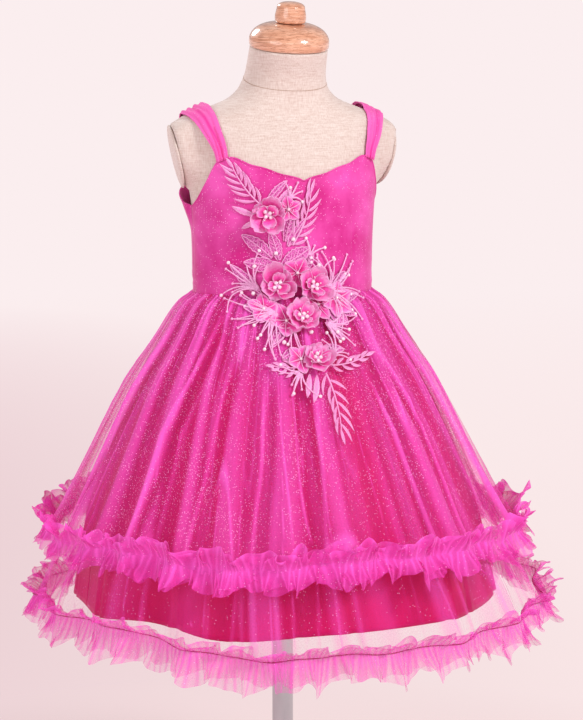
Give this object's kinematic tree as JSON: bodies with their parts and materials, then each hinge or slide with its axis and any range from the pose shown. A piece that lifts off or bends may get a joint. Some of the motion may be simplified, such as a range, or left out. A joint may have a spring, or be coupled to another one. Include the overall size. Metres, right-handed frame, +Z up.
{
  "type": "toddler party dress on a dress form",
  "caption": "Sleeveless child's party dress with frilled tulle skirts and a flower applique, worn by a padded linen dress form on a pole and round foot.",
  "frame": {"origin": "centre of the round foot's underside, on the pole's axis", "axes": "+Z up along the pole, the dress front faces -Y, +X to the viewer's right"},
  "size_m": [0.5535, 0.5485, 0.9043],
  "materials": {
    "satin": "smooth glitter-flecked satin under fine net",
    "tulle": "sheer glitter tulle",
    "lining": "plain satin lining",
    "frill": "ruched soft tulle",
    "lace": "embroidered lace with a silky thread",
    "petal": "organza petals with corded edges",
    "linen": "plain woven linen",
    "wood": "varnished beech",
    "chrome": "polished",
    "enamel": "satin enamel"
  },
  "bodies": {
    "root": {"form_torso": "linen", "arm_plate_left": "linen", "arm_plate_right": "linen", "neck_cap": "wood", "cap_knob": "wood", "pole_flange": "wood", "pole": "chrome", "pole_collar": "chrome", "base_plate": "enamel", "bodice_front": "satin", "bodice_back_left": "satin", "bodice_back_right": "satin", "zip_pull": "satin", "strap_left": "tulle", "strap_right": "tulle", "tulle_lower_front": "tulle", "tulle_lower_back": "tulle", "tulle_upper_front": "tulle", "tulle_upper_back": "tulle", "lining_front": "lining", "lining_back": "lining", "frill_lower_front": "frill", "frill_lower_back": "frill", "frill_upper_front": "frill", "frill_upper_back": "frill", "leaf_breast_low": "lace", "leaf_breast_side": "lace", "leaf_waist_upper": "lace", "leaf_waist_left": "lace", "leaf_skirt_right": "lace", "frond_strap": "lace", "frond_breast": "lace", "frond_low_left": "lace", "frond_low_right": "lace", "frond_hemward": "lace", "spray_left": "lace", "spray_right": "lace", "spray_low_left": "lace", "spray_low_right": "lace", "flower_breast": "petal", "flower_waist_left": "petal", "flower_waist_right": "petal", "flower_middle": "petal", "flower_low": "petal"}
  },
  "joints": []
}
